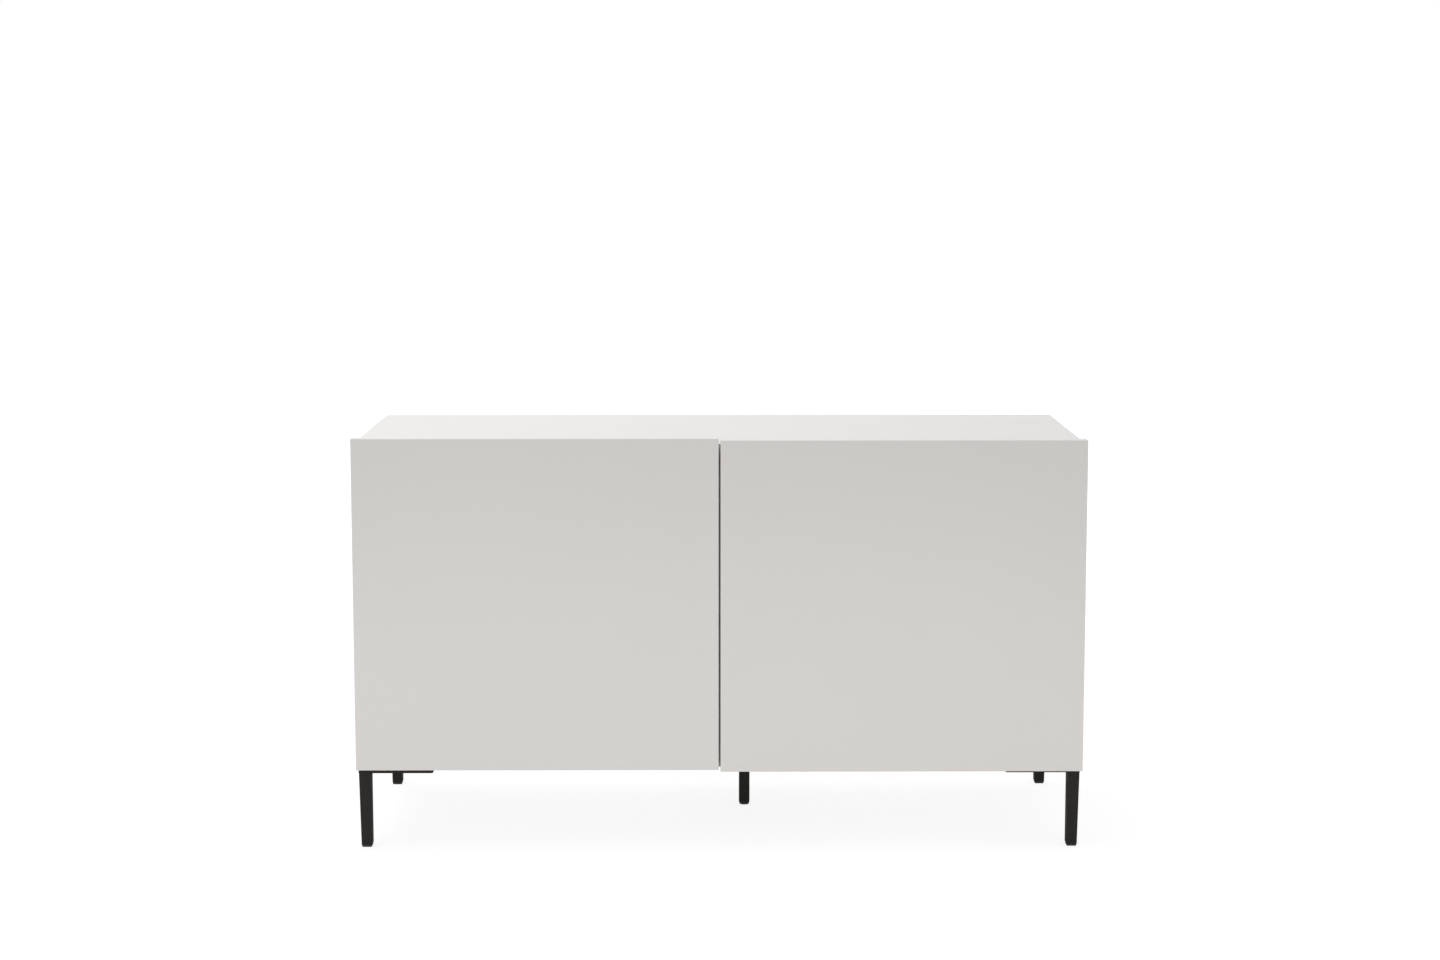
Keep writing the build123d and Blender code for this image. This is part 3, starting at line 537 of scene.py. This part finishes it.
class Shaper:
    """Mesh work that several sub-assemblies share."""

    MERGE = 0.002 * MM
    FLAT = math.radians(0.5)
    SHARP = math.radians(32.0)
    SPARE = 1.1
    ROUND_STEPS = 2

    @classmethod
    def merged(cls, node: str) -> bmesh.types.BMesh:
        """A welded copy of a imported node's triangles.

        Args:
            node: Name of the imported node.

        Returns:
            The copy.
        """
        shape = bmesh.new()
        shape.from_mesh(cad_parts[node].data)
        bmesh.ops.remove_doubles(shape, verts=shape.verts[:], dist=cls.MERGE)
        return shape

    @classmethod
    def loose_solids(cls, node: str) -> list[list[Vector]]:
        """Split a node into its loose solids.

        Args:
            node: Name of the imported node.

        Returns:
            The points of each solid.
        """
        shape = cls.merged(node)
        seen = set()
        found = []
        for first in shape.verts:
            if first in seen:
                continue
            seen.add(first)
            group = [first]
            for vertex in group:
                near = [edge.other_vert(vertex) for edge in vertex.link_edges]
                fresh = [other for other in near if other not in seen]
                seen.update(fresh)
                group.extend(fresh)
            found.append([vertex.co.copy() for vertex in group])
        shape.free()
        return found

    @classmethod
    def finish(cls, shape: bmesh.types.BMesh, name: str, material: bpy.types.Material) -> bpy.types.Object:
        """Turn a bmesh into a smooth-shaded object with one material.

        Args:
            shape: The modelled shape, which is used up.
            name: Name of the new piece.
            material: Its finish.

        Returns:
            The object, at the origin.
        """
        for face in shape.faces:
            face.smooth = True
        mesh = bpy.data.meshes.new(name)
        shape.to_mesh(mesh)
        shape.free()
        mesh.set_sharp_from_angle(angle=cls.SHARP)
        mesh.materials.append(material)
        piece = bpy.data.objects.new(name, mesh)
        bpy.context.scene.collection.objects.link(piece)
        piece.modifiers.new("level_faces", "WEIGHTED_NORMAL").keep_sharp = True
        return piece

    @classmethod
    def has_room(cls, edge: bmesh.types.BMEdge, radius: float) -> bool:
        """Whether both faces of an edge are wider than the round that is cut from them.

        Args:
            edge: The edge, with a face on each side.
            radius: How much of each face the round takes, in metres.

        Returns:
            True where the round fits on both faces.
        """
        middle = (edge.verts[0].co + edge.verts[1].co) / 2
        for loop in edge.link_loops:
            along = (loop.link_loop_next.vert.co - loop.vert.co).normalized()
            inner = middle + loop.face.normal.cross(along) * radius * cls.SPARE
            if not bmesh.geometry.intersect_face_point(loop.face, inner):
                return False
        return True

    @classmethod
    def softened(cls, node: str, name: str, radius: float, material: bpy.types.Material) -> bpy.types.Object:
        """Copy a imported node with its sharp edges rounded.

        Args:
            node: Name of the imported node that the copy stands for.
            name: Name of the new piece.
            radius: How much each edge is rounded, in metres.
            material: Finish of the copy.

        Returns:
            The new piece, which replaces the node.
        """
        shape = cls.merged(node)
        bmesh.ops.dissolve_limit(shape, angle_limit=cls.FLAT, verts=shape.verts[:], edges=shape.edges[:])
        edges = [
            edge
            for edge in shape.edges
            if edge.is_convex and edge.calc_face_angle(0.0) > cls.SHARP and cls.has_room(edge, radius)
        ]
        bmesh.ops.bevel(
            shape, geom=edges, offset=radius, offset_type="OFFSET", affect="EDGES",
            segments=cls.ROUND_STEPS, profile=0.5, material=-1, clamp_overlap=False,
        )
        bmesh.ops.dissolve_degenerate(shape, dist=cls.MERGE, edges=shape.edges[:])
        bmesh.ops.triangulate(shape, faces=shape.faces[:], quad_method="BEAUTY", ngon_method="BEAUTY")
        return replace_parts(cls.finish(shape, name, material), node)


def dress(material: bpy.types.Material, *nodes: str) -> None:
    """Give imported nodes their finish.

    Args:
        material: The material that they share.
        nodes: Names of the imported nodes.
    """
    for node in nodes:
        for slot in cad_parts[node].material_slots:
            slot.material = material
        log.info("%s: %s", node, material.name)


def seat(piece: bpy.types.Object, body: Body) -> None:
    """Let a new piece move with a body.

    Args:
        piece: The new piece.
        body: The body that carries it.
    """
    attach(piece, body.value)
    log.info("%s: %d faces, on %s", piece.name, len(piece.data.polygons), body.value)


@dataclass
class ScrewBlank:
    """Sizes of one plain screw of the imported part.

    The middle lies on the screw's axis, under its head, and the direction points out of the head.
    """

    RIM_SHARE: ClassVar[float] = 0.99
    TIP_REACH: ClassVar[float] = 0.5 * MM

    middle: Vector
    direction: Vector
    head_radius: float
    shank_radius: float
    head_height: float
    shank_length: float

    @classmethod
    def of(cls, points: list[Vector]) -> "ScrewBlank":
        """Measure a screw, which lies along X, Y or Z.

        Args:
            points: All corners of the screw's mesh.

        Returns:
            The measured screw.
        """
        low = Vector([min(point[i] for point in points) for i in range(3)])
        high = Vector([max(point[i] for point in points) for i in range(3)])
        long_axis = max(range(3), key=lambda i: high[i] - low[i])
        centre = (low + high) / 2
        spread = [(point[long_axis], cls.off_axis(point - centre, long_axis)) for point in points]
        widest = max(reach for _, reach in spread)
        head = [along for along, reach in spread if reach > cls.RIM_SHARE * widest]
        outward = 1.0 if sum(head) / len(head) > centre[long_axis] else -1.0
        under_head = min(head) if outward > 0 else max(head)
        tip = low[long_axis] if outward > 0 else high[long_axis]
        shank = max(reach for along, reach in spread if abs(along - tip) < cls.TIP_REACH)
        direction = Vector([outward if i == long_axis else 0.0 for i in range(3)])
        middle = centre.copy()
        middle[long_axis] = under_head
        return cls(middle, direction, widest, shank, max(head) - min(head), abs(under_head - tip))

    @staticmethod
    def off_axis(arm: Vector, axis: int) -> float:
        """Distance of a point from a line along one axis."""
        return math.sqrt(sum(arm[i] ** 2 for i in range(3) if i != axis))


@dataclass
class CrossScrews:
    """Pan-head screws with a cross recess, in place of one node of plain screws.

    Crown and recess depth are shares of the head's height, the arms' width and reach are shares
    of its radius, and the point is a share of the shank's length.
    """

    node: str
    body: Body
    slot: Slot
    sides: int = 28
    crown: float = 0.35
    arm_width: float = 0.26
    arm_reach: float = 0.62
    recess_depth: float = 0.75
    recess_taper: float = 0.55
    point: float = 0.25
    point_taper: float = 0.2

    def build(self, material: bpy.types.Material) -> None:
        """Make all screws of the node as one piece, which replaces the node.

        Args:
            material: Finish of the screws.
        """
        whole = bmesh.new()
        for points in Shaper.loose_solids(self.node):
            blank = ScrewBlank.of(points)
            one = self.one(blank)
            turn = Vector((0, 0, 1)).rotation_difference(blank.direction).to_matrix().to_4x4()
            bmesh.ops.transform(one, matrix=Matrix.Translation(blank.middle) @ turn, verts=one.verts[:])
            held = bpy.data.meshes.new(self.node)
            one.to_mesh(held)
            one.free()
            whole.from_mesh(held)
            bpy.data.meshes.remove(held)
        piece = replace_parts(Shaper.finish(whole, f"{self.node}_cross_head", material), self.node)
        seat(piece, self.body)

    def one(self, blank: ScrewBlank) -> bmesh.types.BMesh:
        """Model one screw upright, with the underside of its head at zero height.

        Args:
            blank: Measured sizes of the screw.

        Returns:
            The closed shape.
        """
        shape = bmesh.new()
        rim = bmesh.ops.create_circle(shape, segments=self.sides, radius=blank.head_radius)["verts"]
        bmesh.ops.translate(shape, verts=rim, vec=(0, 0, blank.head_height))
        ring = shape.edges[:]
        self.recessed(shape, blank, ring)
        self.walled(shape, blank, ring)
        bmesh.ops.remove_doubles(shape, verts=shape.verts[:], dist=Shaper.MERGE)
        bmesh.ops.recalc_face_normals(shape, faces=shape.faces[:])
        return shape

    def recessed(self, shape: bmesh.types.BMesh, blank: ScrewBlank, ring: list[bmesh.types.BMEdge]) -> None:
        """Close the head's ring with a flat top that has a tapered cross sunk into it.

        Args:
            shape: The screw, which holds only the ring of the head.
            blank: Measured sizes of the screw.
            ring: Edges of that ring.
        """
        half = self.arm_width * blank.head_radius / 2
        reach = self.arm_reach * blank.head_radius
        corners = []
        for quarter in range(4):
            turn = Matrix.Rotation(quarter * math.pi / 2, 3, "Z")
            for spot in ((reach, -half), (reach, half), (half, half)):
                corners.append(shape.verts.new(turn @ Vector((*spot, blank.head_height))))
        count = len(corners)
        cross = [shape.edges.new((corners[i], corners[(i + 1) % count])) for i in range(count)]
        bmesh.ops.triangle_fill(shape, edges=ring + cross, use_beauty=True, normal=(0, 0, 1))
        inner = [face for face in shape.faces if self.in_cross(face.calc_center_median(), half, reach)]
        bmesh.ops.delete(shape, geom=inner, context="FACES_ONLY")
        floor = shape.faces.new(corners)
        sunk = bmesh.ops.extrude_face_region(shape, geom=[floor])["geom"]
        bmesh.ops.delete(shape, geom=[floor], context="FACES_ONLY")
        low = [item for item in sunk if isinstance(item, bmesh.types.BMVert)]
        bmesh.ops.scale(shape, verts=low, vec=(self.recess_taper, self.recess_taper, 1.0))
        bmesh.ops.translate(shape, verts=low, vec=(0, 0, -self.recess_depth * blank.head_height))

    @staticmethod
    def in_cross(spot: Vector, half: float, reach: float) -> bool:
        """Whether a spot on the head lies within the cross."""
        near, far = sorted((abs(spot.x), abs(spot.y)))
        return near < half and far < reach

    def walled(self, shape: bmesh.types.BMesh, blank: ScrewBlank, ring: list[bmesh.types.BMEdge]) -> None:
        """Carry the head's ring down over its crown, under the head and along the shank.

        Args:
            shape: The screw with its recessed top.
            blank: Measured sizes of the screw.
            ring: Edges of the head's upper ring.
        """
        drop = self.crown * blank.head_height
        narrow = 1.0 - drop / blank.head_radius
        upper = list({vertex for edge in ring for vertex in edge.verts})
        bmesh.ops.scale(shape, verts=upper, vec=(narrow, narrow, 1.0))
        steps = (
            (1.0 / narrow, -drop),
            (1.0, drop - blank.head_height),
            (blank.shank_radius / blank.head_radius, 0.0),
            (1.0, -blank.shank_length * (1 - self.point)),
            (self.point_taper, -blank.shank_length * self.point),
        )
        for widen, fall in steps:
            made = bmesh.ops.extrude_edge_only(shape, edges=ring)["geom"]
            moved = [item for item in made if isinstance(item, bmesh.types.BMVert)]
            ring = [item for item in made if isinstance(item, bmesh.types.BMEdge)]
            bmesh.ops.scale(shape, verts=moved, vec=(widen, widen, 1.0))
            bmesh.ops.translate(shape, verts=moved, vec=(0, 0, fall))
        bmesh.ops.holes_fill(shape, edges=ring, sides=self.sides)


@dataclass
class Carcass:
    """Top, bottom, sides, partition, shelves, back and the fittings that join them."""

    lacquered: tuple[str, ...] = ("top_panel", "left_side", "right_side")
    foiled: tuple[str, ...] = ("bottom_panel", "centre_partition", "left_shelf", "right_shelf")
    pins: tuple[str, ...] = ("shelf_pins", "cam_bolts")
    back: str = "back_panel"
    lacquer: Lacquer = Lacquer("satin_white_lacquer", (0.715, 0.693, 0.670), 0.34)
    foil: Lacquer = Lacquer(
        "pearl_white_foil", (0.70, 0.682, 0.66), 0.48, peel=Grain(900.0, 1.0), peel_depth=0.02 * MM
    )
    pin_steel: PlatedSteel = PlatedSteel("plated_pin_steel", (0.62, 0.61, 0.59), 0.30)
    cam_metal: CastMetal = CastMetal("cast_zinc", (0.52, 0.52, 0.53), 0.42)
    beech: Beech = Beech("turned_beech", (0.55, 0.36, 0.20), 0.6)

    def build(self) -> None:
        """Dress the boards and their fittings."""
        dress(self.lacquer.material(), *self.lacquered)
        dress(self.foil.material(), *self.foiled)
        dress(self.board().material(), self.back)
        dress(self.pin_steel.material(), *self.pins)
        dress(self.cam_metal.material(), "cam_locks")
        dress(self.beech.material(), "dowels")

    def board(self) -> CoatedBoard:
        """Finish of the back, with its middle plane and thickness from its own box."""
        low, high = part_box(self.back)
        return CoatedBoard(
            "paper_coated_board", (0.66, 0.648, 0.625), 0.58,
            mid_plane=(low.y + high.y) / 2, half_thickness=(high.y - low.y) / 2,
        )


@dataclass
class Doors:
    """Two lacquered doors with soft dots on their backs."""

    lacquer: Lacquer = Lacquer("satin_white_door_lacquer", (0.715, 0.693, 0.670), 0.36)
    dots: ClearRubber = ClearRubber("clear_soft_dot", (0.86, 0.86, 0.84), 0.28)

    def build(self) -> None:
        """Dress both doors and their dots."""
        dress(self.lacquer.material(), "left_door", "right_door")
        dress(self.dots.material(), "left_door_bumpers", "right_door_bumpers")


@dataclass
class Hinges:
    """Cup hinges: cups and pins on the doors, arms and plates on the cabinet."""

    edge_round: float = 0.25 * MM
    steel: PlatedSteel = PlatedSteel("nickel_plated_steel", (0.63, 0.615, 0.585), 0.24)
    levels: tuple[str, ...] = ("upper", "lower")
    bodies: dict[str, Body] = field(
        default_factory=lambda: {"left": Body.LEFT_DOOR, "right": Body.RIGHT_DOOR}
    )

    def build(self) -> None:
        """Soften every sheet part of the four hinges and dress the pins."""
        steel = self.steel.material()
        for side, door in self.bodies.items():
            carriers = {"cup": door, "arm": Body.CABINET, "plate": Body.CABINET}
            for level in self.levels:
                for part, body in carriers.items():
                    node = f"{side}_{level}_hinge_{part}"
                    piece = Shaper.softened(node, f"{node}_pressed", self.edge_round, steel)
                    seat(piece, body)
            dress(steel, f"{side}_hinge_pins")


@dataclass
class Legs:
    """Four tapered corner legs, a round middle leg, and the glides under them."""

    edge_round: float = 0.4 * MM
    coat: PowderCoat = PowderCoat("black_powder_coat", (0.0275, 0.0258, 0.0243), 0.80, mirror=0.10)
    plastic: MouldedPlastic = MouldedPlastic("moulded_black_plastic", (0.016, 0.016, 0.016), 0.55)
    places: tuple[str, ...] = ("front_left", "front_right", "rear_left", "rear_right", "centre")

    def build(self) -> None:
        """Soften and coat every leg, and dress the glides."""
        coat = self.coat.material()
        for place in self.places:
            leg = Shaper.softened(f"{place}_leg", f"{place}_leg_coated", self.edge_round, coat)
            seat(leg, Body.CABINET)
        dress(self.plastic.material(), *(f"{place}_glide" for place in self.places))


@dataclass
class Fasteners:
    """All screws, each with a cross recess in its head."""

    bright: PlatedSteel = PlatedSteel("zinc_plated_screw", (0.60, 0.59, 0.56), 0.32)
    black: PowderCoat = PowderCoat("blackened_screw", (0.022, 0.021, 0.021), 0.38)
    bright_nodes: dict[str, Body] = field(
        default_factory=lambda: {
            "left_cup_screws": Body.LEFT_DOOR,
            "right_cup_screws": Body.RIGHT_DOOR,
            "hinge_plate_screws": Body.CABINET,
            "hinge_arm_screws": Body.CABINET,
            "back_screws": Body.CABINET,
        }
    )

    def build(self) -> None:
        """Make the screws of the hinges, back and legs."""
        bright = self.bright.material()
        for node, body in self.bright_nodes.items():
            CrossScrews(node, body, Slot.SCREW).build(bright)
        CrossScrews("leg_screws", Body.CABINET, Slot.BLACK_SCREW).build(self.black.material())


@dataclass(frozen=True)
class Softbox:
    """A large soft lamp that looks at one point."""

    name: str
    place: Point
    aim: Point
    width: float
    height: float
    watts: float

    def build(self) -> None:
        """Hang the lamp."""
        lamp = bpy.data.lights.new(self.name, "AREA")
        lamp.shape = "RECTANGLE"
        lamp.size = self.width
        lamp.size_y = self.height
        lamp.energy = self.watts
        made = bpy.data.objects.new(self.name, lamp)
        made.location = self.place
        gaze = Vector(self.aim) - Vector(self.place)
        made.rotation_euler = gaze.to_track_quat("-Z", "Y").to_euler()
        made.visible_camera = False
        bpy.context.scene.collection.objects.link(made)


@dataclass(frozen=True)
class PhotoCamera:
    """The camera of the photograph, fitted to the stand's corners, with its angles in degrees."""

    place: Point = (-0.0169, -3.6570, 1.1692)
    pitch: float = -5.911
    yaw: float = -0.291
    lens: float = 53.675
    shift: float = -0.08

    def build(self) -> None:
        """Make the camera and look through it."""
        data = bpy.data.cameras.new("photo_camera")
        data.lens = self.lens
        data.shift_y = self.shift
        made = bpy.data.objects.new("photo_camera", data)
        made.location = self.place
        made.rotation_euler = (math.radians(90.0 + self.pitch), 0.0, math.radians(self.yaw))
        bpy.context.scene.collection.objects.link(made)
        bpy.context.scene.camera = made


@dataclass
class Studio:
    """White floor and surroundings, soft lamps and the camera.

    The floor's glow and shadow are what the eye sees near the stand; it fades to white between
    the two distances of the fade. Its bounce is what it throws back on the stand.
    """

    floor_size: float = 40.0
    floor_bounce: float = 0.78
    glow: float = 0.84
    shadow: float = 0.26
    fade: Range = (1.2, 3.0)
    air: Colour = (0.681, 0.681, 0.685)
    camera: PhotoCamera = PhotoCamera()
    lamps: tuple[Softbox, ...] = (
        Softbox("overhead_softbox", (-0.9, 0.2, 2.6), (-0.3, 0.0, 0.6), 2.6, 2.0, 25.5),
        Softbox("floor_reflector", (0.0, -1.15, 0.03), (0.0, -0.2, 0.1), 2.6, 0.7, 4.2),
        Softbox("low_reflector", (0.0, -0.45, 0.02), (0.0, -0.45, 1.0), 2.6, 0.3, 0.6),
    )

    def build(self) -> None:
        """Set up the whole studio."""
        bpy.context.scene.view_settings.view_transform = "Standard"
        self.surroundings()
        self.floor()
        for lamp in self.lamps:
            lamp.build()
        self.camera.build()

    @staticmethod
    def seen(paint: Paint) -> Sock:
        """Tell the rays that show the surroundings: to the eye, in mirrors and through clear parts.

        Args:
            paint: The tree that nodes are added to.

        Returns:
            One for such rays, else zero.
        """
        kinds = ("Is Camera Ray", "Is Glossy Ray", "Is Transmission Ray")
        camera, glossy, through = (paint.node("ShaderNodeLightPath", output=kind) for kind in kinds)
        return (camera + glossy + through).at_most(1.0)

    def surroundings(self) -> None:
        """White to the eye, and an even grey light on the object."""
        world = bpy.data.worlds.new("studio_air")
        paint = Paint(world)
        colour = paint.blend(self.seen(paint), self.air, WHITE)
        background = paint.node("ShaderNodeBackground", None, {"Color": colour})
        paint.add("ShaderNodeOutputWorld", None, {"Surface": background})
        bpy.context.scene.world = world

    def floor(self) -> None:
        """A wide floor that looks white and keeps a soft shadow of the stand."""
        shape = bmesh.new()
        bmesh.ops.create_grid(shape, x_segments=1, y_segments=1, size=self.floor_size / 2)
        Shaper.finish(shape, "studio_floor", self.floor_paint())

    def floor_paint(self) -> bpy.types.Material:
        """Material of the floor.

        Returns:
            A plain diffuse sheet that glows a little towards the eye, and fully far away.
        """
        made = bpy.data.materials.new("white_floor")
        paint = Paint(made)
        shine = paint.blend(paint.reach().ramp(self.fade), grey(self.glow), WHITE)
        glow = paint.node("ShaderNodeEmission", None, {"Color": shine})
        veil = paint.node("ShaderNodeBsdfDiffuse", None, {"Color": grey(self.shadow)})
        shown = paint.node("ShaderNodeAddShader", None, {0: glow, 1: veil})
        bounce = paint.node("ShaderNodeBsdfDiffuse", None, {"Color": grey(self.floor_bounce)})
        mixed = paint.node("ShaderNodeMixShader", None, {0: self.seen(paint), 1: bounce, 2: shown})
        paint.add("ShaderNodeOutputMaterial", None, {"Surface": mixed})
        return made


def main() -> None:
    """Dress the stand and set up the studio."""
    logging.basicConfig(level=logging.INFO, format="%(name)s: %(message)s")
    for part in (Carcass(), Doors(), Hinges(), Legs(), Fasteners(), Studio()):
        part.build()
        log.info("finished %s", type(part).__name__)


if __name__ == "__main__":
    main()
